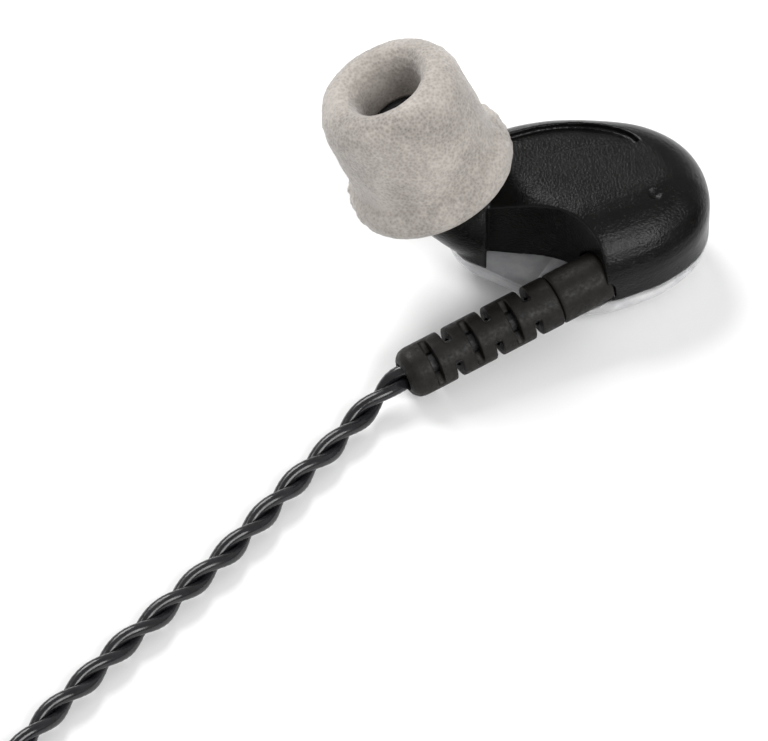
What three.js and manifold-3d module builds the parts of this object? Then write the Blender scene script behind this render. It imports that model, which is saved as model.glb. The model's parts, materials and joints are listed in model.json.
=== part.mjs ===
// In ear monitors: two earpieces on one cable with a slider, a Y-split and a 3.5 mm plug.
// Millimetres, +Z up. The origin is on the flat rest face of the left earpiece, on the surface it lies on.
import * as THREE from 'three';
import Module from 'manifold-3d';
import { mergeVertices } from 'three/addons/utils/BufferGeometryUtils.js';

const wasm = await Module();
wasm.setup();

const vec = (x, y, z) => new THREE.Vector3(x, y, z);
const UP = vec(0, 0, 1);

// Shell
const shellLength = 20.5;
const shellWidth = 15.6;
const shellHeight = 9.8;
const partingHeight = 3.6;
const shellWall = 0.8;
const edgeRound = 3.5;
const rearRound = 2.4;          // the rear shell's side curve, before its shallow dome
const domeRise = 0.5;
const domeReach = 1.9;
const shellMiddle = vec(-0.85, 1.75, 0);
const gap = 0.3;                // between pieces that touch

// Nozzle and foam tip, along one slanted axis
const tipAxis = vec(-0.381, 0.095, 0.919).normalize();
const tipBaseFromEnd = vec(-0.85, -0.85, 10.4);   // from the shell's left end, at the origin's height
const nozzleRadius = 1.5;
const nozzleBore = 1.0;
const nozzleLength = 5.5;
const nozzleRoot = 1.4;         // how far it goes down into the snout
const guardThickness = 0.5;
const guardHoles = 5;
const damperLength = 1.6;
const foamRadius = 5.9;
const skirtRadius = 6.7;
const skirtHeight = 2.6;
const foamLength = 11;
const mouthRadius = 3.2;
const coreWall = 0.75;
const coreLength = 6.8;
const slidingGap = 0.35;

// Collar, boot and leads
const collarRadius = 2.05;
const collarLength = 6.8;
const bootLength = 13.3;
const seamFromMiddle = vec(-2.05, -7.65, 4.0);
const notchFace = 4.0;          // from the seam in to the face that the collar comes out of
const notchWidth = 4.5;
const notchFromEnd = 3.1;
const notchCorner = 3.4;
const notchLean = 0.9;
const cableAxis = vec(-0.868, -0.469, -0.14).normalize();
const slotWidth = 0.6;
const bootFront = vec(0, -0.643, 0.766);   // half of the slots open this way
const firstSlot = 2.2;
const slotPitch = 1.75;
const slotCount = 6;
const slotWeb = 0.85;           // half of what is left between a pair of slots
const leadDiameter = 2.0;
const mainDiameter = 2.4;
const bore = leadDiameter / 2 + gap;

// Slider, Y-split and plug
const leadSpacing = 2.8;
const sliderLength = 7;
const splitLength = 10.7;
const clampWidth = 6.4;
const clampHeight = 3.4;
const housingRadius = 3.6;
const housingLength = 17;
const reliefLength = 9;
const sleeveLength = 8;
const plugRadius = 1.75;

// Where things lie
const rightPlace = vec(30, -1.5, 0);
const rightTurn = -60 * Math.PI / 180;
const rowY = -89.5;             // the line of slider, Y-split and main cable
const splitX = 11.3;
const plugPlace = vec(48.2, -45.7, 3.6);

// --- solids -------------------------------------------------------------------------------------
function solid(geometry) {
  const bare = geometry.index ? geometry.toNonIndexed() : geometry.clone();
  bare.deleteAttribute('normal');
  bare.deleteAttribute('uv');
  const merged = mergeVertices(bare, 1e-4);
  return new wasm.Manifold(new wasm.Mesh({
    numProp: 3,
    vertProperties: new Float32Array(merged.attributes.position.array),
    triVerts: new Uint32Array(merged.index.array),
  }));
}

function geometryOf(body) {
  const mesh = body.getMesh();
  const geometry = new THREE.BufferGeometry();
  geometry.setAttribute('position', new THREE.BufferAttribute(new Float32Array(mesh.vertProperties), 3));
  geometry.setIndex(new THREE.BufferAttribute(new Uint32Array(mesh.triVerts), 1));
  const flat = geometry.toNonIndexed();
  flat.computeVertexNormals();
  return flat;
}

// A closed skin over rings of points that all have the same count, with a point in the middle of each end.
function loft(rings) {
  const count = rings[0].length;
  const points = rings.flat();
  const middle = ring => ring.reduce((sum, p) => sum.add(p), vec(0, 0, 0)).divideScalar(count);
  points.push(middle(rings[0]), middle(rings.at(-1)));
  const index = [];
  for (let i = 0; i < count; i += 1) {
    const j = (i + 1) % count;
    for (let k = 0; k + 1 < rings.length; k += 1) {
      const a = k * count;
      index.push(a + i, a + j, a + count + j, a + i, a + count + j, a + count + i);
    }
    const last = (rings.length - 1) * count;
    index.push(points.length - 2, j, i, points.length - 1, last + i, last + j);
  }
  const geometry = new THREE.BufferGeometry().setFromPoints(points);
  geometry.setIndex(index);
  return geometry;
}

function facing(geometry, from, axis) {
  geometry.applyQuaternion(new THREE.Quaternion().setFromUnitVectors(UP, axis));
  return geometry.translate(from.x, from.y, from.z);
}

const along = (start, axis, distance) => start.clone().addScaledVector(axis, distance);

// A turned body: profile is [radius, distance along the axis] from one end to the other.
function turned(profile, from, axis, sides = 24) {
  const points = profile.map(([r, z]) => new THREE.Vector2(r, z));
  return facing(new THREE.LatheGeometry(points, sides).rotateX(Math.PI / 2), from, axis);
}

const rod = (radius, length, from, axis, sides = 24) =>
  turned([[0, 0], [radius, 0], [radius, length], [0, length]], from, axis, sides);

const pipe = (inner, outer, length, from, axis, sides = 24) =>
  turned([[inner, 0], [outer, 0], [outer, length], [inner, length], [inner, 0]], from, axis, sides);

function block(size, middle) {
  return new THREE.BoxGeometry(size.x, size.y, size.z).translate(middle.x, middle.y, middle.z);
}

function roundCable(points, radius, steps) {
  const angles = [...Array(8).keys()].map(k => k * Math.PI / 4);
  const section = new THREE.Shape(angles.map(a => new THREE.Vector2(radius * Math.cos(a), radius * Math.sin(a))));
  const extrudePath = new THREE.CatmullRomCurve3(points, false, 'centripetal');
  return new THREE.ExtrudeGeometry(section, { extrudePath, steps, bevelEnabled: false });
}

// --- shell --------------------------------------------------------------------------------------
// The outline at its widest, as shares of half the length and half the width, anticlockwise.
const outlineShares = [
  [1, -0.04], [0.96, 0.35], [0.81, 0.67], [0.52, 0.91], [0.08, 1], [-0.32, 0.97], [-0.68, 0.8],
  [-0.92, 0.42], [-1, -0.06], [-0.88, -0.38], [-0.66, -0.56], [-0.3, -0.84], [-0.02, -0.98],
  [0.2, -0.97], [0.43, -0.86], [0.68, -0.68], [0.92, -0.36],
];
const outlinePoints = 34;
const outline = new THREE.CatmullRomCurve3(
  outlineShares.map(([x, y]) => vec(x * shellLength / 2, y * shellWidth / 2, 0)), true, 'centripetal',
).getSpacedPoints(outlinePoints).slice(0, outlinePoints);

// The outline pulled in by a distance, at a height.
function ringAt(inset, height) {
  return outline.map((p, i) => {
    const before = outline.at(i - 1);
    const after = outline[(i + 1) % outline.length];
    const tangent = after.clone().sub(before).normalize();
    return vec(p.x - tangent.y * inset, p.y + tangent.x * inset, height).add(shellMiddle);
  });
}

const quarter = [0, 22.5, 45, 67.5, 90].map(a => a * Math.PI / 180);

function upperBody(inset, bottom) {
  const round = edgeRound - inset;
  const top = shellHeight - inset;
  const rings = quarter.map(a => ringAt(inset + round * (1 - Math.cos(a)), top - round + round * Math.sin(a)));
  return solid(loft([ringAt(inset, bottom), ...rings]));
}

function lowerBody(inset, top) {
  const fall = partingHeight - domeRise - inset;
  const rings = quarter.slice(1).reverse().map(a =>
    ringAt(inset + (rearRound - inset) * (1 - Math.cos(a)), partingHeight - fall * Math.sin(a)));
  const dome = [1, 0.5].map(share => ringAt(rearRound + domeReach * share, inset + domeRise * (1 - share) * 0.4));
  return solid(loft([...dome, ...rings, ringAt(inset, top)]));
}

const leftEnd = vec(shellMiddle.x - shellLength / 2, shellMiddle.y, 0);
const tipBase = leftEnd.clone().add(tipBaseFromEnd);
const seam = vec(shellMiddle.x, shellMiddle.y, 0).add(seamFromMiddle);
const bootEnd = along(seam, cableAxis, bootLength);
const inward = cableAxis.clone().negate();

// The corner cut out of the front shell, where the cable comes out, grown by a wall where asked.
function notch(grow, bottom, top) {
  const across = vec(cableAxis.y, -cableAxis.x, 0).normalize();
  const face = along(seam, inward, notchFace);
  const inner = seam.y + notchWidth + grow;
  const faceRight = face.clone().addScaledVector(across, -8).addScaledVector(inward, grow);
  const faceLeft = face.clone().addScaledVector(inward, grow);
  const rise = (inner - faceLeft.y) / across.y;
  faceLeft.addScaledVector(across, rise);
  const left = leftEnd.x + notchFromEnd - grow;
  const wall = vec(left, inner + notchLean, 0).sub(faceLeft).normalize();
  const onFace = along(faceLeft, across, -notchCorner);
  const onWall = along(faceLeft, wall, notchCorner);
  const plan = new THREE.Shape([
    new THREE.Vector2(left, inner + notchLean), new THREE.Vector2(left, seam.y - 8),
    new THREE.Vector2(faceRight.x, seam.y - 8), new THREE.Vector2(onFace.x, onFace.y),
  ]);
  plan.quadraticCurveTo(faceLeft.x, faceLeft.y, onWall.x, onWall.y);
  const prism = new THREE.ExtrudeGeometry(plan, { depth: top - bottom, bevelEnabled: false });
  return solid(prism.translate(0, 0, bottom));
}

// The snout that carries the nozzle: a path from the nozzle's foot down into the shell.
const snoutPath = [
  along(tipBase, tipAxis, -0.8), along(tipBase, tipAxis, -2.9).add(vec(0.1, 0.2, 0)),
  along(tipBase, tipAxis, -5.2).add(vec(1.7, 0.8, 0)), along(tipBase, tipAxis, -7).add(vec(4, 1.5, 0.6)),
];
const snoutRadii = [2.9, 3.0, 3.4, 3.9];

function swept(path, radii) {
  const curve = new THREE.CatmullRomCurve3(path);
  const rings = [];
  for (let k = 0; k <= 8; k += 1) {
    const t = k / 8;
    const side = curve.getTangent(t).cross(vec(0, 1, 0)).normalize();
    const other = curve.getTangent(t).cross(side);
    const at = t * (radii.length - 1);
    const low = Math.min(Math.floor(at), radii.length - 2);
    const radius = THREE.MathUtils.lerp(radii[low], radii[low + 1], at - low);
    rings.push([...Array(20).keys()].map(i => curve.getPoint(t)
      .addScaledVector(side, radius * Math.cos(i * Math.PI / 10))
      .addScaledVector(other, radius * Math.sin(i * Math.PI / 10))));
  }
  return solid(loft(rings));
}

const ductRadius = 1.9;
const cavity = () => upperBody(shellWall, partingHeight - 1.5).subtract(notch(shellWall, -1, 12));
const collarHole = () => solid(rod(collarRadius + gap, collarLength + 2, seam, inward));

function frontShell() {
  const body = upperBody(0, partingHeight + gap / 2).subtract(notch(0, -1, 12)).add(swept(snoutPath, snoutRadii));
  const duct = swept(snoutPath, snoutPath.map(() => ductRadius));
  const mouth = solid(rod(nozzleRadius + gap, nozzleRoot + 2, along(tipBase, tipAxis, -nozzleRoot - 1), tipAxis));
  return body.subtract(cavity()).subtract(duct).subtract(mouth).subtract(collarHole())
    .subtract(solid(block(vec(60, 60, 8), vec(0, 0, partingHeight + gap / 2 - 4))));
}

function rearShell() {
  const top = partingHeight - gap / 2;
  const hollow = lowerBody(shellWall, partingHeight + 1).subtract(notch(shellWall, -1, 12));
  return lowerBody(0, partingHeight + 1).subtract(hollow).subtract(collarHole())
    .subtract(solid(rod(collarRadius + gap, bootLength, seam, cableAxis)))
    .subtract(solid(block(vec(60, 60, 8), vec(0, 0, top + 4))));
}

// --- nozzle and tip -----------------------------------------------------------------------------
const coreInner = nozzleRadius + slidingGap;
const coreOuter = coreInner + coreWall;

function nozzle() {
  const r = nozzleRadius;
  const barb = nozzleLength - 1.2;
  return turned([
    [nozzleBore, -nozzleRoot], [r, -nozzleRoot], [r - 0.15, 0.4], [r - 0.15, barb], [r, barb + 0.3],
    [r - 0.1, nozzleLength], [nozzleBore, nozzleLength], [nozzleBore, -nozzleRoot],
  ], tipBase, tipAxis);
}

function waxGuard() {
  let cap = solid(rod(nozzleRadius - 0.1, guardThickness, along(tipBase, tipAxis, nozzleLength + gap), tipAxis, 16));
  for (let k = 0; k < guardHoles; k += 1) {
    const turn = k * 2 * Math.PI / guardHoles;
    const hole = rod(0.27, 4, vec(0.75 * Math.cos(turn), 0.75 * Math.sin(turn), 0), UP, 6);
    cap = cap.subtract(solid(facing(hole, along(tipBase, tipAxis, nozzleLength - 1), tipAxis)));
  }
  return cap;
}

function foamTip() {
  const inner = coreOuter + gap;
  const r = foamRadius;
  return turned([
    [inner, 0], [skirtRadius - 0.4, 0], [skirtRadius, 0.5], [skirtRadius - 0.15, skirtHeight], [r, skirtHeight + 0.3],
    [r, foamLength - 1.6], [r - 0.5, foamLength - 0.5], [r - 1.5, foamLength], [mouthRadius + 0.5, foamLength],
    [mouthRadius, foamLength - 0.5], [inner, coreLength + 0.4], [inner, 0],
  ], tipBase, tipAxis, 24);
}

const tipCore = () =>
  turned([
    [coreInner, 0.4], [coreOuter, 0.4], [coreOuter, coreLength], [coreInner, coreLength], [coreInner, 0.4],
  ], tipBase, tipAxis, 20);

// --- inside the shell ---------------------------------------------------------------------------
const packPlace = 0.2927;     // middle of the pack of drivers, as a share of the way out to the shell's right end
const backRoom = 2.2;         // behind the low driver, for the curve of the shell's back
const core = vec(shellMiddle.x + packPlace * shellLength / 2, shellMiddle.y + 0.4, 0);
const packBack = shellMiddle.y + shellWidth / 2 - shellWall - backRoom;
const lowDriverFront = core.y + 0.6;
const lowDriverSize = vec(6.8, packBack - lowDriverFront, 2.8);
const highDriverSize = vec(4.8, 2.4, 1.9);
const boardThickness = 0.6;
const boardHeight = 1.8;
const cradleHeight = 3.0;
const lowDriverPlace = vec(core.x + 0.4, (lowDriverFront + packBack) / 2, cradleHeight + 0.4 + gap + lowDriverSize.z / 2);
const highDriverPlace = core.clone().add(vec(0.3, -0.9, cradleHeight + 0.4 + gap + highDriverSize.z / 2));

function driver(size, place) {
  const body = solid(block(size, place));
  const spout = rod(0.45, 1, place.clone().add(vec(-size.x / 2 - 0.9, 0, 0)), vec(1, 0, 0), 12);
  return body.add(solid(spout));
}

function soundTube(size, place, aside) {
  const start = place.clone().add(vec(-size.x / 2 - 1.2, 0, 0));
  const foot = along(tipBase, tipAxis, -nozzleRoot - gap - 0.2).add(vec(0, aside, 0));
  const bend = snoutPath[2].clone().add(vec(0.2, aside, 0.1));
  return solid(roundCable([start, start.clone().lerp(bend, 0.5), bend, foot], 0.5, 14));
}

function plateFromTo(length, front, back, thickness, x, z) {
  return solid(block(vec(length, back - front, thickness), vec(x, (front + back) / 2, z)));
}

function driverCradle() {
  const plate = plateFromTo(8.2, core.y - 1.4, packBack - 0.4, 0.8, core.x + 0.4, cradleHeight);
  return plate.subtract(solid(rod(0.9, 4, core.clone().add(vec(-2.4, 1.3, 0.5)), UP, 12)));
}

const boardMiddle = core.clone().add(vec(0.6, 0.3, boardHeight));
const board = () =>
  plateFromTo(7.6, core.y - 2.7, packBack - 1.1, boardThickness, boardMiddle.x, boardMiddle.z);
const capacitor = () =>
  solid(block(vec(1.8, 1.2, 0.8), boardMiddle.clone().add(vec(2.4, -2.8, boardThickness / 2 + gap + 0.4))));

const collarEnd = along(seam, inward, collarLength);
const collar = () => solid(pipe(bore, collarRadius, collarLength - gap / 2, along(seam, inward, gap / 2), inward));
const anchor = () => solid(turned([
  [bore, 0], [collarRadius - 0.35, 0], [collarRadius - 0.35, 0.9], [bore, 0.9], [bore, 0],
], along(collarEnd, inward, gap), inward, 16));
const cableCore = () =>
  solid(rod(leadDiameter / 2, collarLength + bootLength, along(collarEnd, inward, 0.5), cableAxis, 12));

function boot() {
  const length = bootLength - gap / 2;
  const start = along(seam, cableAxis, gap / 2);
  const r = collarRadius;
  let body = solid(turned([
    [bore, 0], [r - 0.1, 0], [r, 0.15], [r, length - 0.9], [r - 0.35, length - 0.25], [r - 0.9, length],
    [bore, length], [bore, 0],
  ], vec(0, 0, 0), UP, 16));
  for (let k = 0; k < slotCount; k += 1) {
    const size = k % 2 ? vec(2 * r + 1, r, slotWidth) : vec(r, 2 * r + 1, slotWidth);
    const aside = (k % 2 ? vec(0, 1, 0) : vec(1, 0, 0)).multiplyScalar(slotWeb + r / 2);
    for (const sign of [-1, 1]) {
      const place = aside.clone().multiplyScalar(sign).setZ(firstSlot + k * slotPitch);
      body = body.subtract(solid(block(size, place)));
    }
  }
  const side = bootFront.clone().cross(cableAxis).normalize();
  const turn = new THREE.Matrix4().makeBasis(side, cableAxis.clone().cross(side), cableAxis);
  return solid(geometryOf(body).applyMatrix4(turn).translate(start.x, start.y, start.z));
}

function wire(aside, end) {
  const start = along(collarEnd, inward, 0.5 + gap).add(vec(0, 0, aside));
  const bend = along(start, inward, 1.1);
  return solid(roundCable([start, bend, end], 0.22, 8));
}

// --- materials ----------------------------------------------------------------------------------
const paint = (color, roughness, metalness = 0, more = {}) =>
  new THREE.MeshStandardMaterial({ color, roughness, metalness, ...more });
const blackShell = paint(0x0b0b0d, 0.22);
const clearShell = paint(0xdadada, 0.08, 0, { transparent: true, opacity: 0.35 });
const foam = paint(0xb8b2aa, 0.95);
const silicone = paint(0x2a2a2a, 0.6);
const rubber = paint(0x141210, 0.7);
const cablePlastic = paint(0x0a0a0b, 0.25);
const steel = paint(0xb8babd, 0.3, 1);
const gold = paint(0xc9a24a, 0.3, 1);
const boardGreen = paint(0x1d4a30, 0.5);
const whitePlastic = paint(0xe6e4de, 0.5);
const brown = paint(0x8a6238, 0.4);
const copper = paint(0xb87345, 0.4, 1);

function named(name, body, material) {
  const geometry = body.isBufferGeometry ? body : geometryOf(body);
  const mesh = new THREE.Mesh(geometry, material);
  mesh.name = name;
  return mesh;
}

function earpiece(side) {
  const group = new THREE.Group();
  const add = (name, body, material) => group.add(named(`${side}_${name}`, body, material));
  add('front_shell', frontShell(), blackShell);
  add('rear_shell', rearShell(), clearShell);
  add('nozzle', nozzle(), steel);
  add('wax_guard', waxGuard(), steel);
  add('damper', rod(nozzleBore - gap, damperLength, along(tipBase, tipAxis, 1), tipAxis, 12), whitePlastic);
  add('foam_tip', foamTip(), foam);
  add('tip_core', tipCore(), silicone);
  add('low_driver', driver(lowDriverSize, lowDriverPlace), steel);
  add('high_driver', driver(highDriverSize, highDriverPlace), steel);
  add('low_sound_tube', soundTube(lowDriverSize, lowDriverPlace, 0.7), clearShell);
  add('high_sound_tube', soundTube(highDriverSize, highDriverPlace, -0.7), clearShell);
  add('driver_cradle', driverCradle(), whitePlastic);
  add('crossover_board', board(), boardGreen);
  add('capacitor', capacitor(), brown);
  add('cable_collar', collar(), rubber);
  add('strain_relief', boot(), rubber);
  add('cable_core', cableCore(), cablePlastic);
  add('cable_anchor', anchor(), steel);
  const pad = boardMiddle.clone().setZ(boardHeight + boardThickness / 2 + gap + 0.25);
  add('signal_wire', wire(0.5, pad.clone().add(vec(0.4, -2.1, 0))), copper);
  add('ground_wire', wire(-0.5, pad.clone().add(vec(1.2, -2.7, 0))), copper);
  return group;
}

const left = earpiece('left');
const right = earpiece('right');
right.position.copy(rightPlace);
right.rotation.z = rightTurn;
right.scale.x = -1;

// --- cords --------------------------------------------------------------------------------------
// Each coil is a flat spiral inwards, one up, a spiral outwards, and so on, so that both ends are outside.
const leadCoil = { diameter: leadDiameter, outer: 13.2, layers: 2, turns: 3.25 };
const mainCoil = { diameter: mainDiameter, outer: 15.4, layers: 4, turns: 9.25 };
const coilSpread = 1.03;        // turns lie this many diameters apart
const leftCoilMiddle = vec(-33, -67, 0);
const rightCoilMiddle = vec(-2.5, -67, 0);
const mainCoilMiddle = vec(35.5, rowY + mainCoil.outer, 0);

function coilBody({ diameter, outer, layers, turns }, middle) {
  const inner = outer - coilSpread * diameter * turns / layers - diameter / 2;
  const edge = outer + diameter / 2;
  const top = diameter * (1 + (layers - 1) * coilSpread);
  return turned([
    [inner, 0.4], [inner + 0.4, 0], [edge - 0.4, 0], [edge, 0.4], [edge, top - 0.4], [edge - 0.4, top],
    [inner + 0.4, top], [inner, top - 0.4], [inner, 0.4],
  ], middle, UP, 24);
}

const toPoints = list => list.map(p => vec(...p));
const leftStart = along(bootEnd, cableAxis, gap);
const rightStart = leftStart.clone().multiply(vec(-1, 1, 1)).applyAxisAngle(UP, rightTurn).add(rightPlace);
const leftRun = [leftStart, ...toPoints([
  [-17.0, -14.3, 1.3], [-19.9, -18.0, 1], [-22.9, -21.8, 1], [-25.2, -25.0, 1], [-27.9, -28.6, 1], [-30.8, -32.0, 1],
  [-33.2, -34.8, 1], [-35.7, -37.6, 1], [-38.7, -41.3, 1], [-41.3, -44.6, 1], [-43.6, -48.2, 1], [-45.3, -51.8, 1],
  [-46.1, -55.4, 1], [-46.2, -58.6, 1],
])];
const rightRun = [rightStart, ...toPoints([
  [26.8, -22.6, 1.4], [27.6, -26.5, 1], [29.0, -31.0, 1], [29.2, -35.5, 1], [27.4, -40.0, 1], [23.6, -44.2, 1],
  [18.6, -48.2, 1], [14.4, -51.2, 1], [10.4, -53.0, 1], [5.9, -53.8, 1],
])];
const leadHeight = clampHeight / 2;
const leftRow = rowY - leadSpacing / 2;
const rightRow = rowY + leadSpacing / 2;
const leftTail = toPoints([
  [-24.6, -80.4, 2.6], [-21.0, -82.2, 1.4], [-17.0, -86.2, 1.1], [-12.8, -89.9, 1.4], [-8, leftRow, leadHeight],
  [splitX - gap, leftRow, leadHeight],
]);
const rightTail = toPoints([
  [-15.8, -75.4, 2.6], [-15.8, -79.0, 1.4], [-14.6, -83.2, 1.1], [-11.8, -86.9, 1.4], [-8, rightRow, leadHeight],
  [splitX - gap, rightRow, leadHeight],
]);
const mainRun = toPoints([
  [splitX + splitLength + gap, rowY, leadHeight], [24.4, rowY, 1.4], [25.6, rowY, 1.2],
]);
const mainTail = [...toPoints([
  [50.9, -64.0, 7.8], [50.4, -58.5, 5.6], [49.2, -53, 4.2],
]), plugPlace.clone().add(vec(0, -3, 0)), plugPlace.clone().add(vec(0, -gap, 0))];

const lead = (points, steps) => roundCable(points, leadDiameter / 2, steps);
const main = (points, steps) => roundCable(points, mainDiameter / 2, steps);

// --- on the cable -------------------------------------------------------------------------------
function rounded(length, width, height, corner) {
  const half = width / 2;
  const low = height / 2;
  const shape = new THREE.Shape();
  shape.moveTo(-half + corner, -low);
  shape.lineTo(half - corner, -low);
  shape.absarc(half - corner, -low + corner, corner, -Math.PI / 2, 0);
  shape.lineTo(half, low - corner);
  shape.absarc(half - corner, low - corner, corner, 0, Math.PI / 2);
  shape.lineTo(-half + corner, low);
  shape.absarc(-half + corner, low - corner, corner, Math.PI / 2, Math.PI);
  shape.lineTo(-half, -low + corner);
  shape.absarc(-half + corner, -low + corner, corner, Math.PI, 1.5 * Math.PI);
  const bar = new THREE.ExtrudeGeometry(shape, { depth: length, bevelEnabled: false, curveSegments: 5 });
  return bar.rotateX(Math.PI / 2).rotateZ(Math.PI / 2);
}

const clampCorner = 1.4;
const EAST = vec(1, 0, 0);
const NORTH = vec(0, 1, 0);

function slider() {
  const start = splitX - 1.3 - sliderLength;
  let body = solid(rounded(sliderLength, clampWidth, clampHeight, clampCorner).translate(start, rowY, leadHeight));
  for (const row of [leftRow, rightRow]) {
    body = body.subtract(solid(rod(bore, sliderLength + 2, vec(start - 1, row, leadHeight), EAST, 16)));
  }
  return body;
}

function split() {
  const taper = 0.62;
  const straight = splitLength * 0.45;
  const ring = (x, share) => [...Array(24).keys()].map(i => {
    const a = i * Math.PI / 12;
    const bulge = v => Math.sign(v) * Math.abs(v) ** 0.7;
    return vec(x, rowY + bulge(Math.cos(a)) * clampWidth / 2 * share,
      leadHeight + bulge(Math.sin(a)) * clampHeight / 2 * Math.min(1, share + 0.25));
  });
  return loft([
    ring(splitX, 0.9), ring(splitX + 0.5, 1), ring(splitX + straight, 1),
    ring(splitX + splitLength - 1.2, taper), ring(splitX + splitLength, taper * 0.85),
  ]);
}

function plugParts() {
  const at = distance => along(plugPlace, NORTH, distance);
  const relief = turned([
    [0, 0], [mainDiameter / 2 + 0.5, 0], [mainDiameter / 2 + 0.7, 0.6], [housingRadius - 1.2, reliefLength - gap],
    [0, reliefLength - gap],
  ], at(0), NORTH, 20);
  const housing = turned([
    [0, 0], [housingRadius - 0.5, 0], [housingRadius, 0.6], [housingRadius, housingLength - 2.5],
    [housingRadius - 0.9, housingLength - 0.3], [housingRadius - 1.3, housingLength - gap], [0, housingLength - gap],
  ], at(reliefLength), NORTH, 24);
  const front = reliefLength + housingLength;
  const contacts = [
    ['plug_sleeve', sleeveLength, plugRadius, gold], ['plug_rear_insulator', 0.6, plugRadius, silicone],
    ['plug_ring', 1.6, plugRadius, gold], ['plug_front_insulator', 0.6, plugRadius, silicone],
  ];
  const parts = [['plug_relief', relief, rubber], ['plug_housing', housing, blackShell]];
  let reached = front;
  for (const [name, length, radius, material] of contacts) {
    parts.push([name, rod(radius, length, at(reached), NORTH, 20), material]);
    reached += length + gap;
  }
  const point = turned([
    [0, 0], [plugRadius - 0.25, 0], [plugRadius - 0.55, 0.9], [plugRadius - 0.1, 1.9], [0.5, 3.1], [0, 3.2],
  ], at(reached), NORTH, 20);
  parts.push(['plug_tip', point, gold]);
  return parts;
}

const cable = new THREE.Group();
for (const [name, body, material] of [
  ['lead_left_run', lead(leftRun, 22), cablePlastic],
  ['lead_left_coil', coilBody(leadCoil, leftCoilMiddle), cablePlastic],
  ['lead_left_tail', lead(leftTail, 16), cablePlastic],
  ['lead_right_run', lead(rightRun, 16), cablePlastic],
  ['lead_right_coil', coilBody(leadCoil, rightCoilMiddle), cablePlastic],
  ['lead_right_tail', lead(rightTail, 16), cablePlastic],
  ['slider', slider(), blackShell],
  ['y_split', split(), rubber],
  ['main_run', main(mainRun, 3), cablePlastic],
  ['main_coil', coilBody(mainCoil, mainCoilMiddle), cablePlastic],
  ['main_tail', main(mainTail, 8), cablePlastic],
  ...plugParts(),
]) {
  cable.add(named(name, body, material));
}

export default new THREE.Group().add(left, right, cable);
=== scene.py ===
import json
import math

import bmesh
import bpy
from mathutils import Matrix, Vector, noise


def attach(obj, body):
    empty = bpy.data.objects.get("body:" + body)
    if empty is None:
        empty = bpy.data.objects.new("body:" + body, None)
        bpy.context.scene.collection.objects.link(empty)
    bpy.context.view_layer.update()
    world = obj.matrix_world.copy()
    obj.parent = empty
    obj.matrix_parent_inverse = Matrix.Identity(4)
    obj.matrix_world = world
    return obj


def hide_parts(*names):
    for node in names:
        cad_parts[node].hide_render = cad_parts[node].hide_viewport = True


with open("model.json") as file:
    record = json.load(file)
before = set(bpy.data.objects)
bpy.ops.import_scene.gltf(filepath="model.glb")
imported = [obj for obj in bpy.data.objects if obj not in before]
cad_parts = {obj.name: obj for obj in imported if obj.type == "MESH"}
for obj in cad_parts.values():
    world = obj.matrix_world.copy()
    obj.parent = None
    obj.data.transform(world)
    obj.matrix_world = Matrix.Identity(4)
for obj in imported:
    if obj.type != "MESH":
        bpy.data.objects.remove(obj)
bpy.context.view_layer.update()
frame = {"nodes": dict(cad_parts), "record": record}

MM = 0.001
TAU = 2 * math.pi

# --- dimensions, in millimetres, as in the CAD model ----------------------------------------------
SHELL_LENGTH, SHELL_WIDTH, SHELL_HEIGHT = 20.5, 15.6, 9.8
PARTING, WALL, EDGE_ROUND = 3.6, 0.8, 3.5
REAR_ROUND, DOME_RISE, DOME_REACH = 2.4, 0.5, 1.9
MIDDLE = Vector((-0.85, 1.75, 0.0))
TIP_AXIS = Vector((-0.381, 0.095, 0.919)).normalized()
TIP_BASE = Vector((MIDDLE.x - SHELL_LENGTH / 2 - 0.85, MIDDLE.y - 0.85, 10.4))
FOAM_RADIUS, SKIRT_RADIUS, SKIRT_HEIGHT, FOAM_LENGTH = 5.9, 6.7, 2.6, 11.0
MOUTH_RADIUS, CORE_INNER, CORE_OUTER, CORE_LENGTH = 3.2, 1.85, 2.6, 6.8
SEAM = Vector((MIDDLE.x - 2.05, MIDDLE.y - 7.65, 4.0))
NOTCH_FACE, NOTCH_WIDTH, NOTCH_FROM_END, NOTCH_CORNER, NOTCH_LEAN = 4.0, 4.5, 3.1, 3.4, 0.9
CABLE_AXIS = Vector((-0.868, -0.469, -0.14)).normalized()
INWARD = -CABLE_AXIS
COLLAR_RADIUS, COLLAR_LENGTH, BOOT_LENGTH = 2.05, 6.8, 13.3
SPIGOT_RADIUS = 1.6      # not in the CAD model: the collar's narrower end inside the shell
SLOT_WIDTH, FIRST_SLOT, SLOT_PITCH, SLOT_COUNT, SLOT_WEB = 0.6, 2.2, 1.75, 6, 0.85
BOOT_FRONT = Vector((0, -0.643, 0.766))
LEAD, MAIN = 2.0, 2.4
ROW_Y, SPLIT_X, SPLIT_LENGTH, LEAD_SPACING = -89.5, 11.3, 10.7, 2.8
LEAD_HEIGHT = 1.7
PLUG = Vector((48.2, -45.7, 3.6))
RIGHT = (Matrix.Translation((30, -1.5, 0)) @ Matrix.Rotation(math.radians(-60), 4, "Z")
         @ Matrix.Diagonal((-1, 1, 1, 1)))
HULL_BODY = "cable_and_shells"

# --- camera ---------------------------------------------------------------------------------------
ELEVATION = math.radians(50)
AIM = Vector((-15.97, -9.66, 0)) * MM
DISTANCE = 0.6
VIEW_WIDTH = 0.05953

camera = bpy.data.objects.new("camera", bpy.data.cameras.new("camera"))
camera.location = AIM + Vector((0, -math.cos(ELEVATION), math.sin(ELEVATION))) * DISTANCE
camera.rotation_euler = (math.pi / 2 - ELEVATION, 0, 0)
camera.data.lens = camera.data.sensor_width * DISTANCE / VIEW_WIDTH
camera.data.clip_start = 0.01
bpy.context.collection.objects.link(camera)
bpy.context.scene.camera = camera


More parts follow.
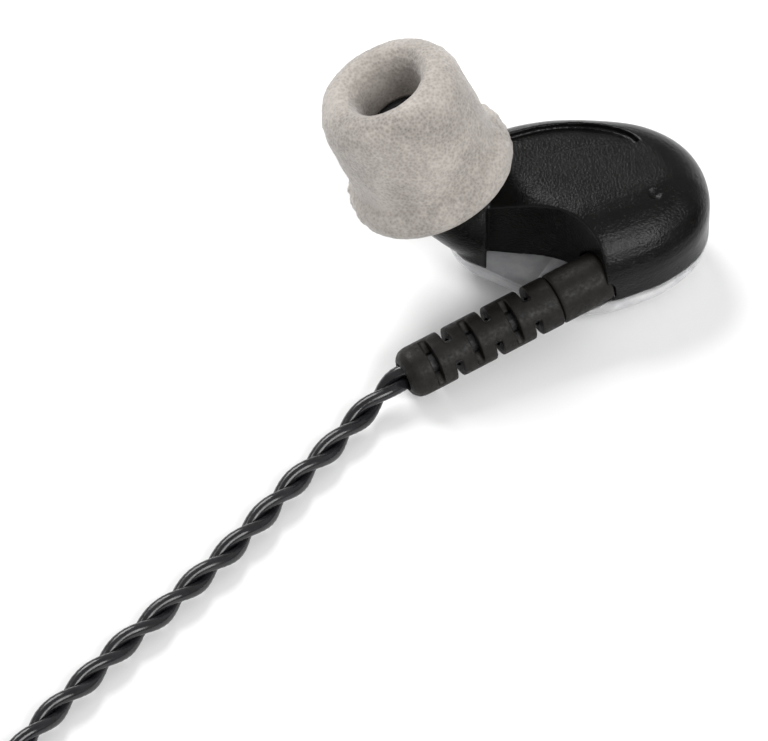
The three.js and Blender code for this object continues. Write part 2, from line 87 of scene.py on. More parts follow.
# --- materials ------------------------------------------------------------------------------------
class Surface:
    """A Principled material, with short calls for the detail that is laid over it."""

    def __init__(self, name, color, roughness, **values):
        self.material = bpy.data.materials.new(name)
        self.material.use_nodes = True
        self.nodes = self.material.node_tree.nodes
        self.links = self.material.node_tree.links
        self.shader = self.nodes["Principled BSDF"]
        self.shader.inputs["Base Color"].default_value = (*color, 1)
        self.shader.inputs["Roughness"].default_value = roughness
        for key, value in values.items():
            self.shader.inputs[key.replace("_", " ")].default_value = value
        self.place = self.nodes.new("ShaderNodeTexCoord").outputs["Object"]
        self.normal = None

    def noise(self, scale, detail=3.0, rough=0.5):
        node = self.nodes.new("ShaderNodeTexNoise")
        node.inputs["Scale"].default_value = scale
        node.inputs["Detail"].default_value = detail
        node.inputs["Roughness"].default_value = rough
        self.links.new(self.place, node.inputs["Vector"])
        return node.outputs["Fac"]

    def cells(self, scale, feature="F1"):
        node = self.nodes.new("ShaderNodeTexVoronoi")
        node.feature = feature
        node.inputs["Scale"].default_value = scale
        self.links.new(self.place, node.inputs["Vector"])
        return node.outputs["Distance"]

    def spread(self, value, low, high, out_low, out_high):
        node = self.nodes.new("ShaderNodeMapRange")
        ends = {"From Min": low, "From Max": high, "To Min": out_low, "To Max": out_high}
        for key, number in ends.items():
            node.inputs[key].default_value = number
        self.links.new(value, node.inputs["Value"])
        return node.outputs["Result"]

    def colors(self, value, *stops):
        node = self.nodes.new("ShaderNodeValToRGB")
        ramp = node.color_ramp
        while len(ramp.elements) < len(stops):
            ramp.elements.new(0.5)
        for element, (at, color) in zip(ramp.elements, stops):
            element.position = at
            element.color = (*color, 1)
        self.links.new(value, node.inputs["Fac"])
        self.links.new(node.outputs["Color"], self.shader.inputs["Base Color"])
        return self

    def rough(self, value, low, high):
        self.links.new(self.spread(value, 0.3, 0.7, low, high), self.shader.inputs["Roughness"])
        return self

    def bump(self, value, depth_mm, strength=1.0):
        node = self.nodes.new("ShaderNodeBump")
        node.inputs["Strength"].default_value = strength
        node.inputs["Distance"].default_value = depth_mm * MM
        self.links.new(value, node.inputs["Height"])
        if self.normal:
            self.links.new(self.normal, node.inputs["Normal"])
        self.normal = node.outputs["Normal"]
        self.links.new(self.normal, self.shader.inputs["Normal"])
        return self


def black_gloss():
    s = Surface("black_shell", (0.003, 0.003, 0.0032), 0.2, Specular_IOR_Level=0.16)
    s.colors(s.noise(500), (0.3, (0.0022, 0.0021, 0.002)), (0.75, (0.0045, 0.0043, 0.0042)))
    s.rough(s.noise(260, 3), 0.14, 0.3)
    return s.bump(s.noise(5200, 2, 0.7), 0.05, 1.0).bump(s.noise(300, 2), 0.06, 0.25).material


def clear_plastic():
    # The near-white colour with only part transmission is painted light: it stands in for the light that
    # the clear plastic carries into the shade under the notch.
    s = Surface("clear_shell", (0.9, 0.9, 0.92), 0.05, Transmission_Weight=0.6, IOR=1.47)
    # The white and grey mottling is painted highlights and painted reflections of the parts inside the
    # shell.
    s.colors(s.noise(420, 3, 0.6), (0.38, (0.75, 0.75, 0.77)), (0.5, (0.88, 0.88, 0.9)),
             (0.62, (1.0, 1.0, 1.0)))
    s.rough(s.noise(700), 0.03, 0.14)
    return s.bump(s.noise(420, 2), 0.35, 0.6).material


def grey_foam():
    s = Surface("foam", (0.5, 0.47, 0.43), 0.85,
                Sheen_Weight=0.25, Sheen_Roughness=0.5, Specular_IOR_Level=0.35)
    patch = s.noise(260, 4, 0.6)
    cell = s.cells(4200)
    blend = s.nodes.new("ShaderNodeMath")
    blend.operation = "MULTIPLY_ADD"
    blend.inputs[1].default_value = 0.55
    s.links.new(cell, blend.inputs[0])
    s.links.new(s.spread(patch, 0.2, 0.8, 0.0, 0.75), blend.inputs[2])
    s.colors(blend.outputs[0], (0.15, (0.155, 0.14, 0.127)), (0.4, (0.26, 0.236, 0.214)),
             (0.62, (0.325, 0.296, 0.27)), (0.9, (0.41, 0.376, 0.345)))
    s.rough(s.noise(5200, 2), 0.42, 0.95)
    s.bump(cell, 0.07, 0.5)
    s.bump(s.noise(9000, 3), 0.06, 0.5)
    return s.bump(s.noise(1300, 4), 0.12, 0.5).material


def boot_rubber():
    s = Surface("boot_rubber", (0.02, 0.018, 0.016), 0.6, Specular_IOR_Level=0.22)
    s.colors(s.noise(1400, 5), (0.3, (0.004, 0.0035, 0.003)), (0.8, (0.012, 0.0095, 0.0075)))
    s.rough(s.noise(3200, 4), 0.42, 0.68)
    return s.bump(s.noise(7000, 4), 0.035, 0.6).bump(s.noise(900, 3), 0.04, 0.4).material


def cable_jacket():
    s = Surface("cable", (0.008, 0.008, 0.009), 0.18, Specular_IOR_Level=0.4)
    s.colors(s.noise(800), (0.3, (0.005, 0.005, 0.006)), (0.8, (0.014, 0.014, 0.016)))
    s.rough(s.noise(1500, 4), 0.12, 0.3)
    return s.bump(s.noise(2200, 3), 0.02, 0.35).material


def soft_black():
    s = Surface("silicone", (0.02, 0.02, 0.021), 0.6)
    s.rough(s.noise(2500, 4), 0.5, 0.75)
    return s.bump(s.noise(6000, 3), 0.02, 0.4).material


def metal(name, color, roughness, grain):
    s = Surface(name, color, roughness, Metallic=1.0)
    s.rough(s.noise(grain, 5, 0.65), roughness * 0.7, roughness * 1.5)
    return s.bump(s.noise(grain * 2, 3), 0.012, 0.35).material


def plain_plastic(name, color, roughness=0.5):
    s = Surface(name, color, roughness)
    light = [min(1, c * 1.15) for c in color]
    dark = [c * 0.85 for c in color]
    s.colors(s.noise(900, 4), (0.3, dark), (0.75, light))
    s.rough(s.noise(2500, 3), roughness * 0.8, roughness * 1.2)
    return s.bump(s.noise(5000, 3), 0.02, 0.35).material


looks = {
    "black_shell": black_gloss(),
    "clear_shell": clear_plastic(),
    "foam": grey_foam(),
    "boot_rubber": boot_rubber(),
    "cable": cable_jacket(),
    "silicone": soft_black(),
    "steel": metal("steel", (0.62, 0.63, 0.65), 0.3, 2400),
    "gold": metal("gold", (0.83, 0.62, 0.28), 0.22, 2000),
    "copper": metal("copper", (0.72, 0.36, 0.2), 0.3, 3000),
    "white_plastic": plain_plastic("white_plastic", (0.75, 0.74, 0.7)),
    "board": plain_plastic("board", (0.03, 0.16, 0.08), 0.4),
    "amber": plain_plastic("amber", (0.4, 0.22, 0.08), 0.35),
}


# --- mesh helpers ---------------------------------------------------------------------------------
def new_piece(name, points, faces, slot):
    """A smooth mesh piece from points in millimetres."""
    mesh = bpy.data.meshes.new(name)
    mesh.from_pydata([Vector(p) * MM for p in points], [], faces)
    mesh.shade_smooth()
    piece = bpy.data.objects.new(name, mesh)
    bpy.context.collection.objects.link(piece)
    mesh.materials.append(looks[slot])
    return piece


def grid_faces(rows, columns, closed_rows=False):
    """Faces over rows of points; each row closes on itself."""
    faces = []
    for r in range(rows if closed_rows else rows - 1):
        for c in range(columns):
            d, n = (c + 1) % columns, (r + 1) % rows
            faces.append((r * columns + c, r * columns + d, n * columns + d, n * columns + c))
    return faces


def capped(points, rows, columns):
    """Grid faces with a middle point added at each end; returns (points, faces)."""
    ends = [sum(points[:columns], Vector()) / columns, sum(points[-columns:], Vector()) / columns]
    faces = grid_faces(rows, columns)
    first, last, start = len(points), len(points) + 1, (rows - 1) * columns
    for c in range(columns):
        d = (c + 1) % columns
        faces += [(first, d, c), (last, start + c, start + d)]
    return points + ends, faces


def axes_for(axis):
    side = axis.cross(Vector((0, 0, 1)) if abs(axis.z) < 0.9 else Vector((1, 0, 0))).normalized()
    return side, axis.cross(side)


def smooth_profile(profile, step=0.25):
    """More points along a profile of (radius, distance), so that the turned piece has rows to shape."""
    made = []
    for a, b in zip(profile, profile[1:]):
        count = max(1, round(math.dist(a, b) / step))
        made += [tuple(p + (q - p) * k / count for p, q in zip(a, b)) for k in range(count)]
    return made + [profile[-1]]


def turned(profile, start, axis, sides, closed=False):
    """Points and faces of a turned body: a ring from a closed profile, or a solid with flat ends."""
    side, up = axes_for(axis)
    points = []
    for radius, distance in profile:
        for k in range(sides):
            a = TAU * k / sides
            points.append(start + axis * distance + (side * math.cos(a) + up * math.sin(a)) * radius)
    if closed:
        return points, grid_faces(len(profile), sides, True)
    return capped(points, len(profile), sides)


def applied(piece):
    """Replace a piece's mesh by what its modifiers make of it."""
    evaluated = piece.evaluated_get(bpy.context.evaluated_depsgraph_get())
    mesh = bpy.data.meshes.new_from_object(evaluated)
    piece.modifiers.clear()
    piece.data = mesh
    mesh.shade_smooth()
    return piece


def facing_out(piece):
    """Turn the faces of a closed piece round if they point inwards."""
    bm = bmesh.new()
    bm.from_mesh(piece.data)
    if bm.calc_volume(signed=True) < 0:
        bmesh.ops.reverse_faces(bm, faces=bm.faces)
    bm.to_mesh(piece.data)
    bm.free()
    piece.data.update()
    return piece


def carve(piece, cutters, operation="DIFFERENCE"):
    """Cut the cutters from a piece, or join them to it, and remove them."""
    facing_out(piece)
    for cutter in cutters:
        facing_out(cutter)
        modifier = piece.modifiers.new("cut", "BOOLEAN")
        modifier.operation = operation
        modifier.object = cutter
        modifier.solver = "MANIFOLD"
    bpy.context.view_layer.update()
    applied(piece)
    for cutter in cutters:
        bpy.data.objects.remove(cutter)
    return piece


def melt(piece, voxel_mm, rounds):
    """One even skin over the piece, with its edges and joints rounded."""
    remesh = piece.modifiers.new("skin", "REMESH")
    remesh.mode = "VOXEL"
    remesh.voxel_size = voxel_mm * MM
    even = piece.modifiers.new("even", "SMOOTH")
    even.factor = 0.5
    even.iterations = rounds
    bpy.context.view_layer.update()
    return applied(piece)


def mirrored(piece, name):
    """The right earpiece's copy of a piece of the left one."""
    mesh = piece.data.copy()
    mesh.transform(Matrix.Scale(MM, 4) @ RIGHT @ Matrix.Scale(1 / MM, 4))
    mesh.flip_normals()
    copy = bpy.data.objects.new(name, mesh)
    bpy.context.collection.objects.link(copy)
    return copy


def flowing(points, step):
    """Points evenly spaced, step apart, on a centripetal Catmull-Rom curve through the given points."""
    knots = [points[0] * 2 - points[1], *points, points[-1] * 2 - points[-2]]
    fine = []
    for p0, p1, p2, p3 in zip(knots, knots[1:], knots[2:], knots[3:]):
        t1 = (p1 - p0).length ** 0.5
        t2 = t1 + (p2 - p1).length ** 0.5
        t3 = t2 + (p3 - p2).length ** 0.5
        for k in range(24):
            t = t1 + (t2 - t1) * k / 24
            a1 = p0 * (t1 - t) / t1 + p1 * t / t1
            a2 = p1 * (t2 - t) / (t2 - t1) + p2 * (t - t1) / (t2 - t1)
            a3 = p2 * (t3 - t) / (t3 - t2) + p3 * (t - t2) / (t3 - t2)
            b1 = a1 * (t2 - t) / t2 + a2 * t / t2
            b2 = a2 * (t3 - t) / (t3 - t1) + a3 * (t - t1) / (t3 - t1)
            fine.append(b1 * (t2 - t) / (t2 - t1) + b2 * (t - t1) / (t2 - t1))
    fine.append(points[-1])
    return even(fine, step)


def even(fine, step):
    reached = [0.0]
    for a, b in zip(fine, fine[1:]):
        reached.append(reached[-1] + (b - a).length)
    count = max(2, round(reached[-1] / step))
    made, k = [], 0
    for i in range(count + 1):
        s = reached[-1] * i / count
        while k < len(fine) - 2 and reached[k + 1] < s:
            k += 1
        span = reached[k + 1] - reached[k]
        made.append(fine[k].lerp(fine[k + 1], (s - reached[k]) / span if span else 0))
    return made


COIL_SPREAD = 1.03   # distance between the middles of neighbouring turns, in diameters
TURN_POINTS = 72


def coil_points(middle, diameter, outer, layers, turns, enters):
    """A coil's centreline: anticlockwise spirals, inwards and outwards by turns, one layer on another."""
    spread = COIL_SPREAD * diameter
    made = []
    count = round(turns * TURN_POINTS)
    for k in range(count + 1):
        turn = turns * k / count
        share = turn / turns * layers
        layer = min(int(share), layers - 1)
        inside = share - layer
        pulled = (inside if layer % 2 == 0 else 1 - inside) * turns / layers * spread
        step = 0.12 if layers == 2 else 0.09
        rise = layer + (max(0.0, (inside - 1 + step) / step) ** 2 * 0.5 if layer < layers - 1 else 0)
        rise -= max(0.0, (step - inside) / step) ** 2 * 0.5 if layer else 0
        angle = math.radians(enters) + TAU * turn
        radius = outer - pulled
        made.append(middle + Vector((radius * math.cos(angle), radius * math.sin(angle),
                                     diameter / 2 + rise * spread)))
    return made


def frames_along(line):
    """A side direction at each point, carried along without twist."""
    side = (line[1] - line[0]).cross(Vector((0, 0, 1))).normalized()
    made = []
    for k, p in enumerate(line):
        tangent = (line[min(k + 1, len(line) - 1)] - line[max(k - 1, 0)]).normalized()
        side = (side - tangent * side.dot(tangent)).normalized()
        made.append((p, side, tangent.cross(side)))
    return made


def twisted(name, line, strand, strands, pitch, phase, sides=12):
    """Strands wound round a line in millimetres."""
    reach = strand / 2 / math.sin(math.pi / strands)
    lean = TAU * reach / pitch
    points, faces, travelled = [], [], 0.0
    rings = [[] for _ in range(strands)]
    before = line[0]
    for p, side, up in frames_along(line):
        travelled += (p - before).length
        before = p
        forward = side.cross(up)
        for n in range(strands):
            a = phase + TAU * (travelled / pitch + n / strands)
            out = side * math.cos(a) + up * math.sin(a)
            round_way = (up * math.cos(a) - side * math.sin(a) - forward * lean).normalized()
            centre = p + out * reach
            rings[n].append([centre + (out * math.cos(b) + round_way * math.sin(b)) * strand / 2
                             for b in (TAU * k / sides for k in range(sides))])
    for ring in rings:
        start = len(points)
        own, sheet = capped([q for r in ring for q in r], len(ring), sides)
        points += own
        faces += [tuple(i + start for i in f) for f in sheet]
    return facing_out(new_piece(name, points, faces, "cable"))


def length_of(line):
    return sum((b - a).length for a, b in zip(line, line[1:]))


STRAND, LEAD_STRANDS, LEAD_PITCH, LEAD_STEP = 1.0, 2, 8.2, 0.42
MAIN_STRAND, MAIN_STRANDS, MAIN_PITCH, MAIN_STEP = 0.99, 4, 12.0, 0.6
LEAD_COIL, LEAD_LAYERS, LEAD_TURNS = 13.2, 2, 3.25      # a coil's outer centreline radius, layers and turns
MAIN_COIL, MAIN_LAYERS, MAIN_TURNS = 15.4, 4, 9.25
TWIST_PHASE = math.radians(60)

boot_end = SEAM + CABLE_AXIS * BOOT_LENGTH
left_exit = boot_end
right_exit = RIGHT @ boot_end
into_boot = 1.6      # how far a lead reaches into its boot
left_coil_middle, right_coil_middle = Vector((-33, -67, 0)), Vector((-2.5, -67, 0))
main_coil_middle = Vector((35.5, ROW_Y + MAIN_COIL, 0))
left_run = [Vector(p) for p in (
    (-17.0, -14.3, 1.3), (-19.9, -18.0, 1), (-22.9, -21.8, 1), (-25.2, -25.0, 1), (-27.9, -28.6, 1),
    (-30.8, -32.0, 1), (-33.2, -34.8, 1), (-35.7, -37.6, 1), (-38.7, -41.3, 1), (-41.3, -44.6, 1),
    (-43.6, -48.2, 1), (-45.3, -51.8, 1), (-46.1, -55.4, 1), (-46.2, -58.6, 1),
)]
right_run = [Vector(p) for p in (
    (26.8, -22.6, 1.4), (27.6, -26.5, 1), (29.0, -31.0, 1), (29.2, -35.5, 1), (27.4, -40.0, 1),
    (23.6, -44.2, 1), (18.6, -48.2, 1), (14.4, -51.2, 1), (10.4, -53.0, 1), (5.9, -53.8, 1),
)]
left_row, right_row = ROW_Y - LEAD_SPACING / 2, ROW_Y + LEAD_SPACING / 2
left_tail = [Vector(p) for p in (
    (-24.6, -80.4, 2.6), (-21.0, -82.2, 1.4), (-17.0, -86.2, 1.1), (-12.8, -89.9, 1.4),
    (-8, left_row, LEAD_HEIGHT), (SPLIT_X + 0.4, left_row, LEAD_HEIGHT),
)]
right_tail = [Vector(p) for p in (
    (-15.8, -75.4, 2.6), (-15.8, -79.0, 1.4), (-14.6, -83.2, 1.1), (-11.8, -86.9, 1.4),
    (-8, right_row, LEAD_HEIGHT), (SPLIT_X + 0.4, right_row, LEAD_HEIGHT),
)]
main_start = Vector((SPLIT_X + SPLIT_LENGTH - 0.4, ROW_Y, LEAD_HEIGHT))
main_run = [main_start, Vector((24.4, ROW_Y, 1.4)), Vector((25.6, ROW_Y, 1.2))]
main_tail = [Vector(p) for p in ((50.9, -64.0, 7.8), (50.4, -58.5, 5.6), (49.2, -53, 4.2))]
main_tail += [PLUG + Vector((0, -3, 0)), PLUG + Vector((0, 0.5, 0))]


def lead_line(exit_point, axis, run, middle, enters, tail):
    coil = coil_points(middle, LEAD, LEAD_COIL, LEAD_LAYERS, LEAD_TURNS, enters)
    straight = [exit_point - axis * into_boot, exit_point + axis * 0.6]
    return flowing([*straight, *run, *coil[::3], *tail], LEAD_STEP)


left_line = lead_line(left_exit, CABLE_AXIS, left_run, left_coil_middle, 180, left_tail)
right_axis = (RIGHT.to_3x3() @ CABLE_AXIS).normalized()
right_line = lead_line(right_exit, right_axis, right_run, right_coil_middle, 90, right_tail)
main_turns = coil_points(main_coil_middle, MAIN, MAIN_COIL, MAIN_LAYERS, MAIN_TURNS, 270)
main_line = flowing([*main_run, *main_turns[::3], *main_tail], MAIN_STEP)

lead_left = twisted("lead_left", left_line, STRAND, LEAD_STRANDS, LEAD_PITCH, TWIST_PHASE, 14)
lead_right = twisted("lead_right", right_line, STRAND, LEAD_STRANDS, LEAD_PITCH, 0.4)
main_cable = twisted("main_cable", main_line, MAIN_STRAND, MAIN_STRANDS, MAIN_PITCH, 0, 8)


def carried(piece, slot, *nodes, body=HULL_BODY):
    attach(piece, body)
    if nodes:
        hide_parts(*nodes)
    return piece


carried(lead_left, "cable", "lead_left_run", "lead_left_coil", "lead_left_tail")
carried(lead_right, "cable", "lead_right_run", "lead_right_coil", "lead_right_tail")
carried(main_cable, "cable", "main_run", "main_coil", "main_tail")

STRAP_WIDTH, STRAP_THICKNESS, STRAP_BEND = 3.0, 0.4, 1.3
BEND_POINTS, STRAP_SIDES = 9, 16


def strap(name, middle, inner, outer, height, degrees):
    """A soft strap closed round one side of a coil, which holds the turns together."""
    turn = math.radians(degrees)
    out = Vector((math.cos(turn), math.sin(turn), 0))
    up = Vector((0, 0, 1))
    beside = up.cross(out)
    low, high = STRAP_THICKNESS / 2 + STRAP_BEND, height - STRAP_BEND
    near, far = inner + STRAP_BEND, outer - STRAP_BEND
    points = []
    for quarter, (reach, rise) in enumerate(((far, low), (far, high), (near, high), (near, low))):
        for a in (TAU / 4 * (quarter - 1 + k / (BEND_POINTS - 1)) for k in range(BEND_POINTS)):
            normal = out * math.cos(a) + up * math.sin(a)
            bulge = noise.noise(Vector((a * 2, degrees, 0))) * 0.06
            centre = middle + out * reach + up * rise + normal * (STRAP_BEND + bulge)
            for b in (TAU * (k + 0.5) / STRAP_SIDES for k in range(STRAP_SIDES)):
                wide = math.copysign(abs(math.cos(b)) ** 0.35, math.cos(b)) * STRAP_WIDTH / 2
                thick = math.copysign(abs(math.sin(b)) ** 0.6, math.sin(b)) * STRAP_THICKNESS / 2
                points.append(centre + beside * wide + normal * thick)
    faces = grid_faces(4 * BEND_POINTS, STRAP_SIDES, closed_rows=True)
    piece = new_piece(name, points, faces, "silicone")
    return carried(facing_out(piece), "silicone")


straps = {
    "left": strap("left_lead_strap", left_coil_middle, 8.6, 14.5, 4.4, -20),
    "right": strap("right_lead_strap", right_coil_middle, 8.6, 14.5, 4.4, 20),
    "main": strap("main_cable_strap", main_coil_middle, 8.9, 16.9, 10.2, 135),
}


# --- shells ---------------------------------------------------------------------------------------
OUTLINE = (
    (1, -0.04), (0.96, 0.35), (0.81, 0.67), (0.52, 0.91), (0.08, 1), (-0.32, 0.97), (-0.68, 0.8),
    (-0.92, 0.42), (-1, -0.06), (-0.88, -0.38), (-0.66, -0.56), (-0.3, -0.84), (-0.02, -0.98),
    (0.2, -0.97), (0.43, -0.86), (0.68, -0.68), (0.92, -0.36),
)
ROUND_POINTS = 120


def shell_outline():
    knots = [Vector((x * SHELL_LENGTH / 2, y * SHELL_WIDTH / 2, 0)) for x, y in OUTLINE]
    looped = knots[-2:] + knots + knots[:3]
    line = flowing(looped, 0.05)
    start = min(range(len(line) // 3), key=lambda k: (line[k] - knots[0]).length)
    end = min(range(2 * len(line) // 3, len(line)), key=lambda k: (line[k] - knots[0]).length)
    full = line[start:end + 1]
    return even(full, length_of(full) / ROUND_POINTS)[:ROUND_POINTS]


OUTLINE_LINE = shell_outline()


def ring_at(inset, height):
    made = []
    for k, p in enumerate(OUTLINE_LINE):
        tangent = (OUTLINE_LINE[(k + 1) % ROUND_POINTS] - OUTLINE_LINE[k - 1]).normalized()
        made.append(Vector((p.x - tangent.y * inset, p.y + tangent.x * inset, height)) + MIDDLE)
    return made


def stacked(name, rings, slot="black_shell"):
    points, faces = capped([p for ring in rings for p in ring], len(rings), len(rings[0]))
    return new_piece(name, points, faces, slot)


def quarters(count=10):
    return [math.pi / 2 * k / count for k in range(count + 1)]


FRONT_SOFT = 2.2   # how much wider the edge's round is at the front than at the back


def upper_body(inset, bottom):
    """The black half's solid, moved in by inset, with its rounded top edge."""
    rings = []
    for a in quarters():
        ring = []
        for k, p in enumerate(OUTLINE_LINE):
            tangent = (OUTLINE_LINE[(k + 1) % ROUND_POINTS] - OUTLINE_LINE[k - 1]).normalized()
            away = Vector((tangent.y, -tangent.x, 0))
            softer = FRONT_SOFT * max(0.0, -away.y)
            out, down = EDGE_ROUND + softer - inset, EDGE_ROUND + softer * 0.5 - inset
            flat = p - away * (inset + out * (1 - math.cos(a)))
            height = SHELL_HEIGHT - inset - down * (1 - math.sin(a))
            ring.append(MIDDLE + Vector((flat.x, flat.y, height)))
        rings.append(ring)
    return stacked("upper", [ring_at(inset, bottom), *rings])


def lower_body(inset, top):
    """The clear half's solid, moved in by inset, with its domed underside."""
    fall = PARTING - DOME_RISE - inset
    rings = [ring_at(inset + (REAR_ROUND - inset) * (1 - math.cos(a)), PARTING - fall * math.sin(a))
             for a in reversed(quarters())]
    dome = [ring_at(REAR_ROUND + DOME_REACH * share, inset + DOME_RISE * (1 - share) * 0.4)
            for share in (1, 0.75, 0.5)]
    return stacked("lower", [*dome, *rings, ring_at(inset, top)])


def prism(plan, bottom, top):
    """An upright solid over an outline."""
    rings = [[Vector((x, y, z)) for x, y in plan] for z in (bottom, top)]
    return stacked("prism", rings)


def notch(grow, bottom=-1, top=12):
    """The corner cut out for the cable, with the same faces as the CAD model's."""
    across = Vector((CABLE_AXIS.y, -CABLE_AXIS.x, 0)).normalized()
    face = SEAM + INWARD * (NOTCH_FACE + grow)
    inner = SEAM.y + NOTCH_WIDTH + grow
    near = face - across * 8
    far = face + across * ((inner - face.y) / across.y)
    left = MIDDLE.x - SHELL_LENGTH / 2 + NOTCH_FROM_END - grow
    low = SEAM.y - 8
    wall = (Vector((left, inner + NOTCH_LEAN, 0)) - Vector((far.x, far.y, 0))).normalized()
    on_face, on_wall = far - across * NOTCH_CORNER, far + wall * NOTCH_CORNER
    corner = [on_face * (1 - t) ** 2 + far * 2 * t * (1 - t) + on_wall * t * t
              for t in (k / 10 for k in range(11))]
    return prism([(left, inner + NOTCH_LEAN), (left, low), (near.x, low), *((p.x, p.y) for p in corner)],
                 bottom, top)


def swept(path, radii, sides=40):
    """A round body along a path, whose radius runs through the given radii."""
    knots = flowing(path, 0.2)
    points = []
    for row, (p, side, up) in enumerate(frames_along(knots)):
        at = row / (len(knots) - 1) * (len(radii) - 1)
        low = min(int(at), len(radii) - 2)
        radius = radii[low] + (radii[low + 1] - radii[low]) * (at - low)
        points += [p + (side * math.cos(TAU * k / sides) + up * math.sin(TAU * k / sides)) * radius
                   for k in range(sides)]
    points, faces = capped(points, len(knots), sides)
    return new_piece("swept", points, faces, "black_shell")


def on_tip(distance, aside=(0, 0, 0)):
    return TIP_BASE + TIP_AXIS * distance + Vector(aside)


SNOUT = [on_tip(-0.8), on_tip(-2.9, (0.1, 0.2, 0)), on_tip(-5.2, (1.7, 0.8, 0)),
         on_tip(-7, (4, 1.5, 0.6))]
SNOUT_RADII = [2.9, 3.0, 3.4, 3.9]
SNOUT_BORE, SNOUT_BORE_DEPTH = 1.55, 4.0
DIMPLE, DIMPLE_RADII = Vector((5.0, 0.1, SHELL_HEIGHT + 0.1)), (0.7, 0.6, 0.6)
CLEARANCE = 0.06
SHELL_VOXEL, BOOT_VOXEL = 0.11, 0.08


def rod(radius, length, start, axis, sides=40):
    points, faces = turned([(radius, 0), (radius, length)], start, axis, sides)
    return new_piece("rod", points, faces, "black_shell")


def ellipsoid(middle, radii, turn=0.0):
    bm = bmesh.new()
    bmesh.ops.create_uvsphere(bm, u_segments=40, v_segments=24, radius=1)
    matrix = Matrix.Translation(middle) @ Matrix.Rotation(turn, 4, "Z") @ Matrix.Diagonal((*radii, 1))
    mesh = bpy.data.meshes.new("ellipsoid")
    bmesh.ops.transform(bm, matrix=Matrix.Scale(MM, 4) @ matrix, verts=bm.verts)
    bm.to_mesh(mesh)
    bm.free()
    piece = bpy.data.objects.new("ellipsoid", mesh)
    bpy.context.collection.objects.link(piece)
    return piece


RECESS_DEPTH = 0.55
RECESS_BACK = ((-11.0, 5.0), (-6.1, 6.5), (-3.8, 7.3), (-1.6, 7.7), (0.4, 7.6), (2.0, 7.1), (3.2, 6.4),
               (3.9, 5.6))
RECESS_FRONT = ((3.6, 5.3), (1.8, 5.13), (-0.2, 4.85), (-2.1, 4.4), (-6.1, 3.2), (-11.0, 1.4))


def recess():
    """The leaf-shaped skin that is taken off along the back of the top, pointed towards +X."""
    back = flowing([Vector((x, y, 0)) for x, y in RECESS_BACK], 0.3)
    front = flowing([Vector((x, y, 0)) for x, y in RECESS_FRONT], 0.3)
    plan = [(p.x, p.y) for p in [*back, *front]]
    leaf = prism(plan, SHELL_HEIGHT - EDGE_ROUND, SHELL_HEIGHT + 1)
    return carve(leaf, [upper_body(RECESS_DEPTH, PARTING)])


def front_shell():
    """The black half: body and snout melted into one skin, then hollowed and opened below."""
    body = carve(upper_body(0, PARTING - 0.02), [swept(SNOUT, SNOUT_RADII)], "UNION")
    cuts = [notch(0), recess(), ellipsoid(DIMPLE, DIMPLE_RADII),
            rod(COLLAR_RADIUS + CLEARANCE, NOTCH_FACE + 0.5, SEAM, INWARD),
            rod(SPIGOT_RADIUS + CLEARANCE, COLLAR_LENGTH, SEAM, INWARD),
            rod(SNOUT_BORE, SNOUT_BORE_DEPTH + 0.5, on_tip(-SNOUT_BORE_DEPTH), TIP_AXIS)]
    carve(body, cuts)
    melt(body, SHELL_VOXEL, 5)
    hollow = carve(upper_body(WALL, PARTING - 1.5), [notch(WALL)])
    below = prism([(-30, -30), (30, -30), (30, 30), (-30, 30)], -5, PARTING + 0.03)
    return carve(body, [hollow, below])


def rear_shell():
    """The clear half, open towards the black one."""
    body = lower_body(0, PARTING - 0.02)
    hollow = carve(lower_body(WALL, PARTING + 1), [notch(WALL)])
    collar_way = rod(COLLAR_RADIUS + CLEARANCE, COLLAR_LENGTH + BOOT_LENGTH,
                     SEAM + CABLE_AXIS * BOOT_LENGTH, INWARD)
    carve(body, [hollow, collar_way])
    body.data.materials.clear()
    body.data.materials.append(looks["clear_shell"])
    return body


# --- strain relief and collar -----------------------------------------------------------------------
CABLE_BORE = 1.12


def boot():
    """The slotted boot along +Z, then turned onto the cable's axis."""
    origin, up = Vector((0, 0, 0)), Vector((0, 0, 1))
    r = COLLAR_RADIUS
    profile = smooth_profile([
        (r - 0.12, 0.0), (r, 0.12), (r, BOOT_LENGTH - 1.0), (r - 0.12, BOOT_LENGTH - 0.55),
        (r - 0.45, BOOT_LENGTH - 0.18), (r - 0.9, BOOT_LENGTH), (CABLE_BORE, BOOT_LENGTH),
    ])
    profile += [(CABLE_BORE, BOOT_LENGTH - 2.0), (CABLE_BORE, 0.0)]
    points, faces = turned(profile, origin, up, 64, closed=True)
    body = new_piece("boot", points, faces, "boot_rubber")
    cuts = []
    for k in range(SLOT_COUNT):
        z = FIRST_SLOT + k * SLOT_PITCH
        half = SLOT_WIDTH / 2
        for sign in (-1, 1):
            near, far = sorted((sign * SLOT_WEB, sign * (r + 1)))
            if k % 2:
                plan = [(-r - 1, near), (r + 1, near), (r + 1, far), (-r - 1, far)]
            else:
                plan = [(near, -r - 1), (far, -r - 1), (far, r + 1), (near, r + 1)]
            cuts.append(prism(plan, z - half, z + half))
    carve(body, cuts)
    melt(body, BOOT_VOXEL, 8)
    side = BOOT_FRONT.cross(CABLE_AXIS).normalized()
    turn = Matrix((side, CABLE_AXIS.cross(side), CABLE_AXIS)).transposed().to_4x4()
    body.data.transform(Matrix.Translation(SEAM * MM) @ turn)
    return facing_out(body)


def collar():
    """The plain collar, which steps in to a spigot where the shell holds it."""
    r = COLLAR_RADIUS
    profile = smooth_profile([
        (CABLE_BORE, 0.05), (r - 0.14, 0.05), (r, 0.18), (r, NOTCH_FACE + 0.3), (r - 0.1, NOTCH_FACE + 0.4),
        (SPIGOT_RADIUS, NOTCH_FACE + 0.4), (SPIGOT_RADIUS, COLLAR_LENGTH - 0.15),
        (CABLE_BORE, COLLAR_LENGTH - 0.15), (CABLE_BORE, 0.1),
    ])
    points, faces = turned(profile, SEAM, INWARD, 64, closed=True)
    return facing_out(new_piece("collar", points, faces, "boot_rubber"))


